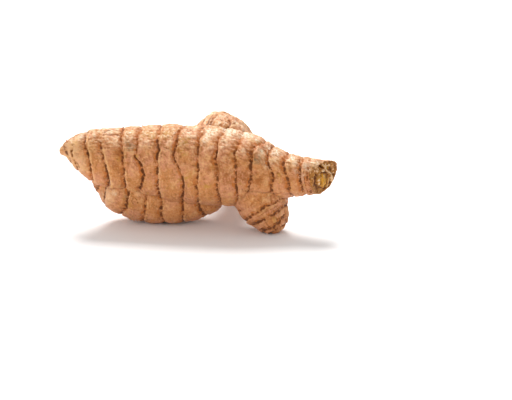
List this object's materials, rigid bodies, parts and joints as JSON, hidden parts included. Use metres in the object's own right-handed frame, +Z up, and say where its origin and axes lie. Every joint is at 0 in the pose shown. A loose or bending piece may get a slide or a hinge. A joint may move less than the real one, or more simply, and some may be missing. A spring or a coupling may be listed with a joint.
{
  "type": "turmeric root",
  "caption": "Whole fresh turmeric root: a fat ringed rhizome with a pointed growing tip, a broken end and short fingers, lying on a flat surface.",
  "frame": {"origin": "middle of the bounding box, on the surface that the root lies on", "axes": "+X along the root from its growing tip to its broken end, +Y away from the side that the picture shows, +Z up"},
  "size_m": [0.0916, 0.0553, 0.0344],
  "materials": {
    "skin": "dry papery pinkish tan skin with brown ring creases, matt"
  },
  "bodies": {
    "root": {"rhizome": "skin"}
  },
  "joints": []
}
